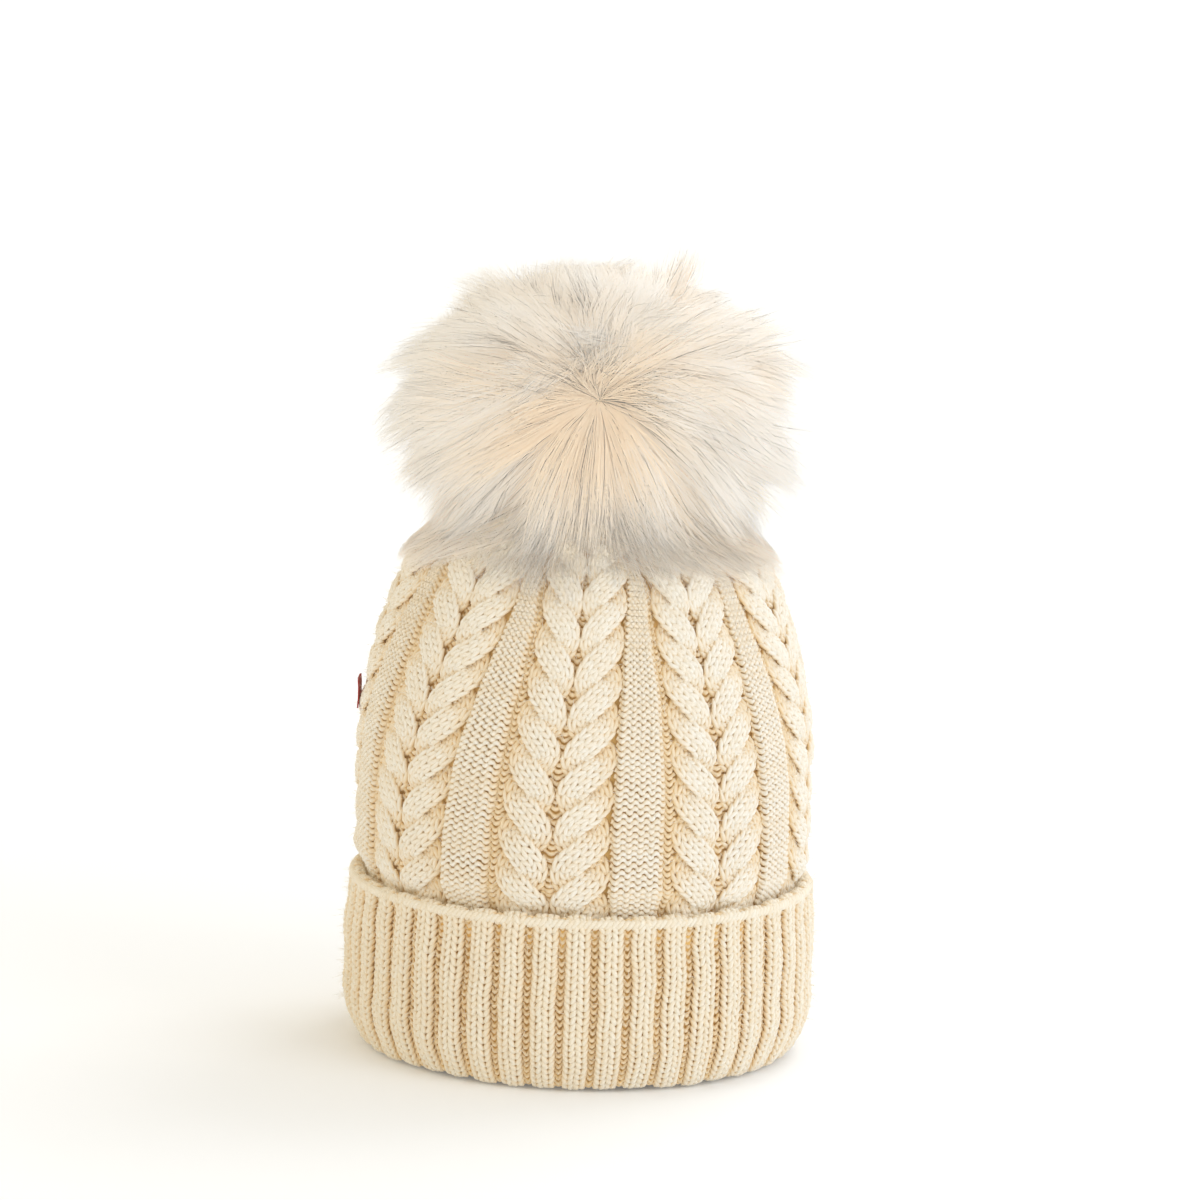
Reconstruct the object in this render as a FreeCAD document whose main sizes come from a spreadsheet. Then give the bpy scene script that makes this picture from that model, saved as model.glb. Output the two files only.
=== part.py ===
import FreeCAD, Part
import math
import os

import Sketcher

# Cable-knit beanie with a turned-up ribbed cuff, a sewn fleece lining and a faux-fur pom on a snap.
# Millimetres. +Z is up, -Y is the front. The origin is the centre of the ring that the cuff rests on.

DIMENSIONS = {
    # Knitted crown, as radii and heights of its outer face, and the thickness of the knit.
    "band_radius": 77.6,
    "band_top": 60.0,
    "crown_radius": 81.2,
    "crown_start": 68.0,
    "side_top": 108.0,
    "shoulder_radius": 64.0,
    "shoulder_height": 175.0,
    "side_curve": 165.0,
    "top_curve": 48.0,
    "crown_top": 192.5,
    "crown_bottom": 6.7,
    "knit_thickness": 4.5,
    # Turned-up cuff.
    "cuff_height": 61.3,
    "cuff_rim_width": 4.2,
    "cuff_rim_radius": 82.4,
    "cuff_belly_radius": 83.9,
    "cuff_belly_height": 24.0,
    "cuff_belly_curve": 28.0,
    "cuff_wall_curve": 180.0,
    "cuff_foot_radius": 76.8,
    "cuff_land": 2.6,
    "cuff_mouth_radius": 72.2,
    "cuff_fold_thickness": 6.3,
    # Flexible middle of the crown, as two nested rings of the same knit.
    "flex_outer_radius": 30.3,
    "flex_inner_radius": 21.3,
    "eyelet_radius": 4.0,
    "flex_gap": 0.8,
    # Fleece lining.
    "lining_gap": 0.8,
    "lining_thickness": 1.2,
    "lining_bottom": 9.0,
    "lining_top": 179.0,
    "lining_top_curve": 110.0,
    "lining_gores": 4,
    "gore_seam_angle": 0.8,
    "seam_angle": 2.2,
    "seam_thickness": 0.4,
    "seam_clearance": 1.35,
    "hem_thread_radius": 0.4,
    # Labels.
    "side_label_height": 10.0,
    "side_label_middle": 123.0,
    "side_label_angle": 11.0,
    "label_thickness": 0.6,
    "care_label_width": 14.0,
    "care_label_height": 26.0,
    "care_label_bottom": 70.0,
    "care_label_radius": 73.5,
    # Snap fastener.
    "felt_radius": 14.0,
    "felt_thickness": 1.5,
    "post_radius": 1.8,
    "disc_radius": 7.2,
    "disc_thickness": 1.0,
    "stud_neck_radius": 2.4,
    "stud_ball_radius": 3.2,
    "stud_ball_height": 3.6,
    "socket_radius": 6.6,
    "socket_height": 6.8,
    "spring_wire_radius": 0.35,
    "spring_play": 0.03,
    "groove_lip": 0.3,
    "rivet_radius": 1.5,
    "stack_gap": 0.2,
    "running_gap": 0.12,
    # Pom.
    "base_disc_radius": 20.0,
    "base_disc_thickness": 2.0,
    "string_radius": 0.8,
    "ball_radius": 40.0,
    "ball_middle": 234.5,
    "ball_height": 30.0,
    "ball_mouth": 21.5,
    "backing_thickness": 1.0,
    "soft_gap": 0.4,
    "pile_radius": 74.0,
    "pile_middle": 229.0,
    "pile_height": 57.5,
    "pile_foot_radius": 60.0,
    "pile_foot_height": 198.8,
    "pile_throat_radius": 23.4,
    "pile_throat_height": 204.4,
    "yarn_radius": 0.9,
}

# Where an oval's small side arc meets its large top arc, as shares of its half width and height.
KNEE_ACROSS = 0.82
KNEE_UP = 0.56

# A face inside the crown's outer face meets the shoulder this far inward and down, as shares
# of its depth.
SHOULDER_INWARD = 0.8
SHOULDER_DOWN = 0.6

# The rim's arc spans a little less than a half circle, so its radius is this much larger.
RIM_SLACK = 1.01

# Where the lining's joining threads lie in the fleece and how thick they are, as shares of it.
THREAD_DEPTH = 0.3
THREAD_THICKNESS = 0.4

# Directions round the axis, in degrees from +X.
BACK = 90.0
WEARER_RIGHT = 180.0

# Two points nearer than this are the same point.
SAME_POINT = 1e-6

document = FreeCAD.newDocument("beanie")
sheet = document.addObject("Spreadsheet::Sheet", "Sizes")
for row, (alias, number) in enumerate(DIMENSIONS.items(), start=1):
    sheet.set(f"A{row}", alias.replace("_", " "))
    sheet.set(f"B{row}", str(number))
    sheet.setAlias(f"B{row}", alias)
document.recompute()

UP = FreeCAD.Vector(0, 0, 1)
parts = []


class Size:
    """A length that knows its value and the sheet expression that gives it."""

    def __init__(self, value, text):
        self.value = value
        self.text = text

    def joined(self, other, sign, value):
        text = other.text if isinstance(other, Size) else str(other)
        return Size(value, f"({self.text} {sign} {text})")

    def __add__(self, other):
        return self.joined(other, "+", self.value + number_of(other))

    def __sub__(self, other):
        return self.joined(other, "-", self.value - number_of(other))

    def __mul__(self, other):
        return self.joined(other, "*", self.value * number_of(other))

    def __truediv__(self, other):
        return self.joined(other, "/", self.value / number_of(other))


def number_of(size):
    return size.value if isinstance(size, Size) else size


def size(alias):
    """A cell of the sheet as a Size."""
    return Size(float(sheet.get(alias)), f"Sizes.{alias}")


ZERO = Size(0.0, "0")


def bow(wide, narrow, high, low):
    """Radius of an arc that stands upright at its wide end and reaches its narrow end."""
    across = wide - narrow
    along = high - low
    return (across * across + along * along) / (across * 2)


def oval_top(wide, middle, height):
    """Corners of an oval's upper half from its side to its top, and the radii of its two arcs."""
    knee = (wide * KNEE_ACROSS, middle + height * KNEE_UP)
    rise = height * (1 - KNEE_UP)
    top_radius = (knee[0] * knee[0] + rise * rise) / (rise * 2)
    corners = [(wide, middle), knee, (ZERO, middle + height)]
    return corners, bow(wide, knee[0], knee[1], middle), top_radius


def origin_plane(body, role):
    """One of a body's own origin planes."""
    return next(feature for feature in body.Origin.OriginFeatures if feature.Role == role)


def arc_between(start, end, radius, bulge):
    """The short arc from start to end. A bulge of 1 puts its middle left of the way, -1 right."""
    middle = (start + end) * 0.5
    way = end - start
    half = way.Length / 2
    left = FreeCAD.Vector(-way.y, way.x, 0).normalize()
    centre = middle - left * (math.sqrt(radius * radius - half * half) * bulge)
    # A sketch keeps its arcs counter-clockwise, so a left-hand arc is drawn from its far end.
    first, last = (start, end) if bulge < 0 else (end, start)
    low = math.atan2(first.y - centre.y, first.x - centre.x)
    high = math.atan2(last.y - centre.y, last.x - centre.x)
    if high < low:
        high += 2 * math.pi
    return Part.ArcOfCircle(Part.Circle(centre, UP, radius), low, high)


def pin_point(sketch, edge, point, across, up):
    """Ties one end of an edge to its distance from the axis and its height."""
    if across.value == 0:
        sketch.addConstraint(Sketcher.Constraint("PointOnObject", edge, point, -2))
    else:
        index = sketch.addConstraint(
            Sketcher.Constraint("DistanceX", -1, 1, edge, point, across.value)
        )
        sketch.setExpression(f"Constraints[{index}]", across.text)
    if up.value == 0:
        sketch.addConstraint(Sketcher.Constraint("PointOnObject", edge, point, -1))
    else:
        index = sketch.addConstraint(
            Sketcher.Constraint("DistanceY", -1, 1, edge, point, up.value)
        )
        sketch.setExpression(f"Constraints[{index}]", up.text)


def revolved(label, corners, arcs=None, sweep=360.0, start=0.0):
    """A body turned from an outline in the XZ plane.

    corners are (distance from the axis, height). arcs gives, by the number of its first
    corner, an edge that is an arc: its radius and its bulge. sweep and start are in degrees.
    """
    arcs = arcs or {}
    body = document.addObject("PartDesign::Body", label)
    body.Label = label
    sketch = body.newObject("Sketcher::SketchObject", f"{label}_outline")
    sketch.AttachmentSupport = (origin_plane(body, "XZ_Plane"), [""])
    sketch.MapMode = "FlatFace"
    points = [FreeCAD.Vector(across.value, up.value, 0) for across, up in corners]
    count = len(points)
    for index, point in enumerate(points):
        after = points[(index + 1) % count]
        if index in arcs:
            radius, bulge = arcs[index]
            sketch.addGeometry(arc_between(point, after, radius.value, bulge), False)
        else:
            sketch.addGeometry(Part.LineSegment(point, after), False)
    ends = []
    for index, point in enumerate(points):
        geometry = sketch.Geometry[index]
        starts_here = (geometry.StartPoint - point).Length < SAME_POINT
        ends.append((1, 2) if starts_here else (2, 1))
    for index in range(count):
        after = (index + 1) % count
        sketch.addConstraint(
            Sketcher.Constraint("Coincident", index, ends[index][1], after, ends[after][0])
        )
    for index, (across, up) in enumerate(corners):
        pin_point(sketch, index, ends[index][0], across, up)
    for index, (radius, _) in arcs.items():
        number = sketch.addConstraint(Sketcher.Constraint("Radius", index, radius.value))
        sketch.setExpression(f"Constraints[{number}]", radius.text)
    turn = body.newObject("PartDesign::Revolution", f"{label}_turn")
    turn.Profile = sketch
    turn.ReferenceAxis = (sketch, ["V_Axis"])
    turn.Angle = sweep
    turn.Midplane = sweep < 360.0
    sketch.Visibility = False
    body.Placement = FreeCAD.Placement(FreeCAD.Vector(), FreeCAD.Rotation(UP, start))
    parts.append(body)
    return body


def ring(label, around, height, wire):
    """A closed loop of wire, yarn or thread."""
    loop = document.addObject("Part::Torus", label)
    loop.Label = label
    loop.setExpression("Radius1", around.text)
    loop.setExpression("Radius2", wire.text)
    loop.setExpression("Placement.Base.z", height.text)
    parts.append(loop)
    return loop


def drilled_disc(label, radius, hole, bottom, thickness):
    """A flat disc with a round hole."""
    corners = [
        (hole, bottom),
        (radius, bottom),
        (radius, bottom + thickness),
        (hole, bottom + thickness),
    ]
    return revolved(label, corners)


def dome_face(depth, bottom, top_radius, top):
    """Corners of the crown's face at a depth inside its outer face, from the bottom up."""
    slant = depth * SHOULDER_INWARD
    drop = depth * SHOULDER_DOWN
    return [
        (size("band_radius") - depth, bottom),
        (size("band_radius") - depth, size("band_top")),
        (size("crown_radius") - depth, size("crown_start")),
        (size("crown_radius") - depth, size("side_top")),
        (size("shoulder_radius") - slant, size("shoulder_height") - drop),
        (top_radius, top),
    ]


def dome_shell(label, depth, thickness, bottom, top_radius, top, top_curve, sweep=360.0, start=0.0):
    """A shell of a thickness whose outer face lies at a depth inside the crown's outer face."""
    inside = depth + thickness
    outer = dome_face(depth, bottom, top_radius, top)
    inner = dome_face(inside, bottom, top_radius, top - thickness)
    corners = outer + inner[::-1]
    arcs = {
        3: (size("side_curve") - depth, -1),
        4: (top_curve - depth, -1),
        6: (top_curve - inside, 1),
        7: (size("side_curve") - inside, 1),
    }
    return revolved(label, corners, arcs, sweep, start)


def knit_crown():
    dome_shell(
        "knit_crown", ZERO, size("knit_thickness"), size("crown_bottom"),
        size("flex_outer_radius"), size("crown_top"), size("top_curve"),
    )


def ribbed_cuff():
    """The turned-up band: a wall outside the crown and the fold that passes under its edge."""
    rim = size("cuff_rim_radius")
    inner = rim - size("cuff_rim_width")
    turn = size("cuff_rim_width") / 2
    shoulder = size("cuff_height") - turn
    fold = size("cuff_fold_thickness")
    mouth = size("cuff_mouth_radius")
    foot = size("cuff_foot_radius")
    land = size("cuff_land")
    corners = [
        (foot, ZERO),
        (size("cuff_belly_radius"), size("cuff_belly_height")),
        (rim, shoulder),
        (inner, shoulder),
        (inner, fold),
        (mouth, fold),
        (mouth, foot - mouth - land),
        (foot - land, ZERO),
    ]
    arcs = {
        0: (size("cuff_belly_curve"), -1),
        1: (size("cuff_wall_curve"), -1),
        2: (turn * RIM_SLACK, -1),
        6: (foot - mouth - land, -1),
    }
    revolved("ribbed_cuff", corners, arcs)


def crown_middle():
    """The drawn-up middle of the crown, in two nested rings, and the yarn that draws it up."""
    knit = size("knit_thickness")
    bottom = size("crown_top") - knit
    gap = size("flex_gap")
    drilled_disc(
        "crown_flex_ring", size("flex_outer_radius") - gap,
        size("flex_inner_radius"), bottom, knit,
    )
    drilled_disc(
        "crown_centre", size("flex_inner_radius") - gap,
        size("eyelet_radius"), bottom, knit,
    )
    yarn = size("yarn_radius")
    around = size("felt_radius") + yarn * 2 + gap
    ring("crown_gather_yarn", around, bottom - yarn - size("stack_gap"), yarn)


def lining():
    """Four fleece gores, the threads that join them, and the thread that holds the hem."""
    outside = size("knit_thickness") + size("lining_gap")
    thickness = size("lining_thickness")
    count = int(size("lining_gores").value)
    gore_sweep = 360.0 / count - size("gore_seam_angle").value
    centre = size("flex_gap")
    for number in range(count):
        dome_shell(
            f"lining_gore_{number + 1}", outside, thickness, size("lining_bottom"), centre,
            size("lining_top"), size("lining_top_curve"), gore_sweep, (number + 0.5) * 360.0 / count,
        )
    depth = outside.value + thickness.value * THREAD_DEPTH
    strip = strip_face(depth, thickness.value * THREAD_THICKNESS)
    thread_angle = size("gore_seam_angle").value / 2
    strip = strip.revolve(FreeCAD.Vector(), UP, thread_angle)
    threads = []
    for number in range(count):
        thread = strip.copy()
        turn = number * 360.0 / count - thread_angle / 2
        thread.rotate(FreeCAD.Vector(), UP, turn)
        threads.append(thread)
    feature = document.addObject("Part::Feature", "lining_seam_threads")
    feature.Label = "lining_seam_threads"
    feature.Shape = Part.makeCompound(threads)
    parts.append(feature)
    hem = size("hem_thread_radius")
    around = size("band_radius") - outside - thickness / 2
    ring("lining_hem_thread", around, size("lining_bottom") - hem - size("stack_gap"), hem)


def strip_face(depth, thickness):
    """The upright stretch of a seam, as a thin rectangle in the XZ plane."""
    outer = size("band_radius").value - depth
    low = size("lining_bottom").value
    high = size("band_top").value
    corners = [
        FreeCAD.Vector(outer, 0, low),
        FreeCAD.Vector(outer, 0, high),
        FreeCAD.Vector(outer - thickness, 0, high),
        FreeCAD.Vector(outer - thickness, 0, low),
    ]
    return Part.Face(Part.makePolygon(corners + corners[:1]))


def back_seam():
    """The flat seam that closes the knitted panel at the back, inside the crown."""
    dome_shell(
        "back_seam_yarn", size("knit_thickness") + size("stack_gap"), size("seam_thickness"),
        size("lining_bottom"), size("flex_outer_radius") + size("knit_thickness"),
        size("crown_top") - size("knit_thickness") - size("seam_clearance"), size("top_curve"),
        size("seam_angle").value, BACK,
    )


def labels():
    """A blank tab on the wearer's right side and a blank care tag inside the back."""
    middle = size("side_label_middle")
    half = size("side_label_height") / 2
    face = size("crown_radius") + size("soft_gap")
    cover = size("label_thickness")
    corners = [
        (face, middle - half),
        (face + cover, middle - half),
        (face + cover, middle + half),
        (face, middle + half),
    ]
    revolved("side_label", corners, None, size("side_label_angle").value, WEARER_RIGHT)
    tag = document.addObject("Part::Box", "care_label")
    tag.Label = "care_label"
    tag.setExpression("Length", "Sizes.care_label_width")
    tag.setExpression("Width", "Sizes.label_thickness")
    tag.setExpression("Height", "Sizes.care_label_height")
    tag.setExpression("Placement.Base.x", "-Sizes.care_label_width / 2")
    tag.setExpression("Placement.Base.y", "Sizes.care_label_radius")
    tag.setExpression("Placement.Base.z", "Sizes.care_label_bottom")
    parts.append(tag)


def snap_on_crown():
    """The half of the snap that is riveted through the crown, with its two felt washers."""
    gap = size("stack_gap")
    knit = size("knit_thickness")
    felt = size("felt_thickness")
    disc = size("disc_thickness")
    post = size("post_radius")
    under = size("crown_top") - knit - gap - felt
    over = size("crown_top") + gap
    drilled_disc("inner_felt_washer", size("felt_radius"), post + gap, under, felt)
    drilled_disc("outer_felt_washer", size("felt_radius"), post + gap, over, felt)
    cap_bottom = under - gap - disc
    flange = over + felt + gap
    post_top = flange + disc / 2
    cap = [
        (ZERO, cap_bottom),
        (size("disc_radius"), cap_bottom),
        (size("disc_radius"), cap_bottom + disc),
        (post, cap_bottom + disc),
        (post, post_top),
        (ZERO, post_top),
    ]
    revolved("snap_post_cap", cap)
    neck = size("stud_neck_radius")
    ball = size("stud_ball_radius")
    centre = flange + size("stud_ball_height")
    # The ball leaves the neck at the height where its own outline is as wide as the neck.
    fall = math.sqrt(ball.value**2 - neck.value**2)
    neck_top = Size(centre.value - fall, f"({centre.text} - sqrt({ball.text}^2 - {neck.text}^2))")
    hollow = post + size("running_gap")
    roof = post_top + gap
    stud = [
        (hollow, flange),
        (size("disc_radius"), flange),
        (size("disc_radius"), flange + disc),
        (neck, flange + disc),
        (neck, neck_top),
        (ball, centre),
        (ZERO, centre + ball),
        (ZERO, roof),
        (hollow, roof),
    ]
    revolved("snap_stud", stud, {4: (ball, -1), 5: (ball, -1)})
    return flange


def snap_on_pom(flange):
    """The half of the snap that the pom carries: socket, grip ring and rivet cap."""
    gap = size("stack_gap")
    disc = size("disc_thickness")
    wire = size("spring_wire_radius")
    bore = size("stud_ball_radius") + size("running_gap")
    bottom = flange + disc + gap
    top = bottom + size("socket_height")
    groove_low = bottom + size("groove_lip")
    groove_high = groove_low + wire * 2 + gap
    groove = bore + wire * 2 + size("running_gap") * 2
    rivet = size("rivet_radius")
    plate = top - disc
    socket = [
        (bore, bottom),
        (size("socket_radius"), bottom),
        (size("socket_radius"), top),
        (rivet + size("running_gap"), top),
        (rivet + size("running_gap"), plate),
        (bore, plate),
        (bore, groove_high),
        (groove, groove_high),
        (groove, groove_low),
        (bore, groove_low),
    ]
    revolved("snap_socket", socket)
    ring("snap_spring", bore + wire + size("spring_play"), (groove_low + groove_high) / 2, wire)
    base = top + gap
    thickness = size("base_disc_thickness")
    drilled_disc("pom_base_disc", size("base_disc_radius"), rivet + size("running_gap"), base, thickness)
    cap_bottom = base + thickness + gap
    cap = [
        (ZERO, plate + gap),
        (rivet, plate + gap),
        (rivet, cap_bottom),
        (size("disc_radius"), cap_bottom),
        (size("disc_radius"), cap_bottom + disc),
        (ZERO, cap_bottom + disc),
    ]
    revolved("snap_socket_cap", cap)
    return cap_bottom + disc


def pom(cap_top):
    """Stuffing, backing cloth, drawstring and the outer shape of the fur."""
    string = size("string_radius")
    soft = size("soft_gap")
    cloth = size("backing_thickness")
    mouth = size("ball_mouth")
    wide = size("ball_radius")
    middle = size("ball_middle")
    height = size("ball_height")
    ring("pom_drawstring", mouth - string / 2, cap_top + string / 2, string)
    low = cap_top + string * 2

    def ball(inward):
        """Corners of the ball from its mouth to its top, and its arcs, at a depth in its cloth."""
        rim = (mouth - inward, low)
        upper, side, crest = oval_top(wide - inward, middle, height - inward)
        foot = bow(wide - inward, rim[0], middle, low)
        return [rim] + upper, [foot, side, crest]

    outer, outer_radii = ball(ZERO)
    inner, inner_radii = ball(cloth)
    arcs = {index: (radius, -1) for index, radius in enumerate(outer_radii)}
    arcs.update({6 - index: (radius, 1) for index, radius in enumerate(inner_radii)})
    revolved("pom_backing", outer + inner[::-1], arcs)
    filling, filling_radii = ball(cloth + soft)
    arcs = {index + 1: (radius, -1) for index, radius in enumerate(filling_radii)}
    revolved("pom_stuffing", [(ZERO, low)] + filling, arcs)
    hollow, hollow_radii = ball(ZERO - soft)
    throat = (size("pile_throat_radius"), size("pile_throat_height"))
    foot = (size("pile_foot_radius"), size("pile_foot_height"))
    upper, side, crest = oval_top(size("pile_radius"), size("pile_middle"), size("pile_height"))
    foot_bow = bow(size("pile_radius"), foot[0], size("pile_middle"), foot[1])
    arcs = {1: (foot_bow, -1), 2: (side, -1), 3: (crest, -1)}
    arcs.update({7 - index: (radius, 1) for index, radius in enumerate(hollow_radii)})
    revolved("pom_fur_pile", [throat, foot] + upper + hollow[::-1], arcs)


def check_and_write():
    """Stops on any failed object or bad shape, then writes one file for each sub-part."""
    document.recompute()
    for item in document.Objects:
        if {"Invalid", "Error"} & set(item.State):
            raise RuntimeError(f"{item.Label} failed: {item.State}")
    os.makedirs("parts", exist_ok=True)
    for part in parts:
        shape = part.Shape
        if shape.isNull() or not shape.isValid():
            raise RuntimeError(f"{part.Label} has no valid shape")
        shape.exportStep(f"parts/{part.Label}.step")
        box = shape.BoundBox
        print(
            f"{part.Label}: {shape.Volume / 1000:.3f} cm3, {len(shape.Solids)} solid(s),"
            f" z {box.ZMin:.2f} to {box.ZMax:.2f}, x {box.XMin:.2f} to {box.XMax:.2f}"
        )


knit_crown()
ribbed_cuff()
crown_middle()
lining()
back_seam()
labels()
flange_bottom = snap_on_crown()
rivet_top = snap_on_pom(flange_bottom)
pom(rivet_top)
check_and_write()
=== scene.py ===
"""Looks of a cable-knit beanie with a ribbed cuff and a faux-fur pom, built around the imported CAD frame."""

import math

import bpy
import numpy as np
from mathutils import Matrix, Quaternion, Vector


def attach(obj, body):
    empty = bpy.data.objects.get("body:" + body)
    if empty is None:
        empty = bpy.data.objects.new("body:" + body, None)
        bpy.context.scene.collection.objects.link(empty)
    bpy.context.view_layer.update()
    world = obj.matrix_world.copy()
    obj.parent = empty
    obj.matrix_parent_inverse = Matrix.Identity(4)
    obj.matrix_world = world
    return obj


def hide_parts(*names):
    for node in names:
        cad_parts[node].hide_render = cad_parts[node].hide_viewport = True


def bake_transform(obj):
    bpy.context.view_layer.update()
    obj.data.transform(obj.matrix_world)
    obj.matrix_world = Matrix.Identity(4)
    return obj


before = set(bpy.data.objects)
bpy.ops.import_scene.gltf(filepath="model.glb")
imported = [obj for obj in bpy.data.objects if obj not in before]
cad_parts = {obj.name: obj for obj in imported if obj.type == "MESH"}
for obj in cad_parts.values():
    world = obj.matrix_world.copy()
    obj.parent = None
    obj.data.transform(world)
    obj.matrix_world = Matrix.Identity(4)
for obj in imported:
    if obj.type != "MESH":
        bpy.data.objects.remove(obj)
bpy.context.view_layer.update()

# Lengths below are in millimetres until a mesh is made. +Z is up and -Y is the front.
MM = 0.001
TURN = 2 * math.pi

# ---------------------------------------------------------------- colours, as linear light

# The second colour of each knit pair is painted shade, laid into the knitting's hollows and on the undersides
# of its yarns.
CREAM = (0.875, 0.85, 0.785)
CREAM_PAINTED_SHADE = (0.78, 0.53, 0.20)
RIB_CREAM = (0.87, 0.825, 0.72)
RIB_PAINTED_SHADE = (0.76, 0.49, 0.16)
FUR_WHITE = (0.79, 0.78, 0.76)
# The fur's tan is its own colour in patches and at the low left, and is also painted shade at the roots and
# under the pom.
FUR_TAN = (0.82, 0.67, 0.48)
FUR_BROWN = (0.36, 0.19, 0.08)
FLEECE_WHITE = (0.84, 0.80, 0.72)
FLEECE_SHADE = (0.66, 0.60, 0.50)
# Painted glow: emission colours that stand in for light scattering inside the yarn and the hair, with their
# opacity.
YARN_PAINTED_GLOW = (1.0, 0.76, 0.42, 1)
FUR_PAINTED_GLOW = (1.0, 0.945, 0.86, 1)


# ---------------------------------------------------------------- small geometry tools

def unit(vectors):
    """Vectors scaled to length 1."""
    lengths = np.linalg.norm(vectors, axis=-1, keepdims=True)
    return vectors / np.maximum(lengths, 1e-9)


def smooth(value, low, high):
    """0 below low, 1 above high and an S-shaped rise between them."""
    t = np.clip((np.asarray(value, float) - low) / (high - low), 0, 1)
    return t * t * (3 - 2 * t)


def bow(start, end, radius, points=24):
    """Points of the short arc from start to end that bulges to the right of the way."""
    start, end = np.array(start, float), np.array(end, float)
    way = end - start
    half = np.linalg.norm(way) / 2
    left = np.array([-way[1], way[0]]) / (half * 2)
    centre = (start + end) / 2 + left * math.sqrt(max(radius * radius - half * half, 0))
    first = math.atan2(*(start - centre)[::-1])
    sweep = 2 * math.asin(min(half / radius, 1.0))
    angles = first + np.linspace(0, sweep, points)
    return centre + radius * np.stack([np.cos(angles), np.sin(angles)], 1)


class Outline:
    """The side view of a round face, followed by arc length. Its outward side is right of the way."""

    def __init__(self, *stretches):
        points = np.concatenate([np.array(s, float).reshape(-1, 2) for s in stretches])
        steps = np.linalg.norm(np.diff(points, axis=0), axis=1)
        keep = np.concatenate([[True], steps > 1e-6])
        points = points[keep]
        length = np.concatenate([[0], np.cumsum(np.linalg.norm(np.diff(points, axis=0), axis=1))])
        self.length = length[-1]
        self.steps = np.arange(0, self.length, 0.25)
        even = np.stack([np.interp(self.steps, length, points[:, i]) for i in (0, 1)], 1)
        soft = self._soften(even, 5)
        self.points = soft
        way = unit(np.gradient(soft, axis=0))
        self.normals = self._soften(np.stack([way[:, 1], -way[:, 0]], 1), 5)

    @staticmethod
    def _soften(values, reach):
        """A running mean along the outline, with its ends kept."""
        padded = np.concatenate([values[:1]] * reach + [values] + [values[-1:]] * reach)
        window = 2 * reach + 1
        return np.stack(
            [np.convolve(padded[:, i], np.ones(window) / window, "valid") for i in (0, 1)], 1
        )

    def at(self, along):
        """Radius, height and outward direction at distances along the outline."""
        found = [np.interp(along, self.steps, self.points[:, i]) for i in (0, 1)]
        out = [np.interp(along, self.steps, self.normals[:, i]) for i in (0, 1)]
        return found[0], found[1], out[0], out[1]

    def place(self, azimuth, along, proud):
        """Points this far proud of the outline turned round the axis, and their outward directions."""
        radius, height, out_radius, out_height = self.at(along)
        sine, cosine = np.sin(azimuth), -np.cos(azimuth)
        across = radius + out_radius * proud
        points = np.stack([across * sine, across * cosine, height + out_height * proud], -1)
        outward = np.stack([out_radius * sine, out_radius * cosine, out_height + 0 * sine], -1)
        return points, outward


# ---------------------------------------------------------------- mesh tools

def make_piece(name, vertices, faces, material, marks=None):
    """A smooth mesh object from vertices in millimetres, four-sided faces and per-vertex numbers."""
    mesh = bpy.data.meshes.new(name)
    mesh.vertices.add(len(vertices))
    mesh.vertices.foreach_set("co", (np.asarray(vertices) * MM).astype(np.float32).ravel())
    mesh.loops.add(faces.size)
    mesh.loops.foreach_set("vertex_index", faces.astype(np.int32).ravel())
    mesh.polygons.add(len(faces))
    mesh.polygons.foreach_set("loop_start", np.arange(0, faces.size, 4, dtype=np.int32))
    mesh.update(calc_edges=True)
    mesh.shade_smooth()
    mesh.materials.append(material)
    for mark, values in (marks or {}).items():
        layer = mesh.attributes.new(mark, "FLOAT", "POINT")
        layer.data.foreach_set("value", np.asarray(values, np.float32).ravel())
    piece = bpy.data.objects.new(name, mesh)
    bpy.context.scene.collection.objects.link(piece)
    return piece


class Gather:
    """Meshes that are collected and made into one piece."""

    def __init__(self):
        self.vertices, self.faces, self.marks, self.count = [], [], {}, 0

    def add(self, vertices, faces, **marks):
        self.vertices.append(vertices)
        self.faces.append(faces + self.count)
        self.count += len(vertices)
        for mark, values in marks.items():
            self.marks.setdefault(mark, []).append(values)

    def piece(self, name, material):
        marks = {mark: np.concatenate(values) for mark, values in self.marks.items()}
        return make_piece(
            name, np.concatenate(self.vertices), np.concatenate(self.faces), material, marks
        )


def grid_faces(rows, columns, closed=False):
    """Faces of a grid of rows x columns points. A closed grid joins its last column to its first."""
    row = np.arange(rows - 1)[:, None]
    column = np.arange(columns if closed else columns - 1)[None]
    after = (column + 1) % columns
    corners = [
        row * columns + column,
        row * columns + after,
        (row + 1) * columns + after,
        (row + 1) * columns + column,
    ]
    return np.stack(corners, -1).reshape(-1, 4)


def tubes(paths, outward, thick, sides=6):
    """Closed tubes along many paths of equal point counts, with their faces and each vertex's lift."""
    count, points, _ = paths.shape
    way = unit(np.gradient(paths, axis=1))
    side = unit(np.cross(way, outward))
    up = np.cross(side, way)
    turn = np.arange(sides) * TURN / sides
    ring = side[:, :, None] * np.cos(turn)[:, None] + up[:, :, None] * np.sin(turn)[:, None]
    vertices = paths[:, :, None] + ring * thick[..., None, None]
    lift = np.sin(turn) * thick[..., None]
    wall = grid_faces(points, sides, closed=True)[:, ::-1]
    last = (points - 1) * sides
    caps = []
    for corner in range(1, sides - 2, 2):
        start = np.array([0, corner, corner + 1, corner + 2])
        caps += [start, start[::-1] + last]
    template = np.concatenate([wall, np.array(caps)])
    faces = template[None] + (np.arange(count) * points * sides)[:, None, None]
    return vertices.reshape(-1, 3), faces.reshape(-1, 4), lift.reshape(-1)


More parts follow.
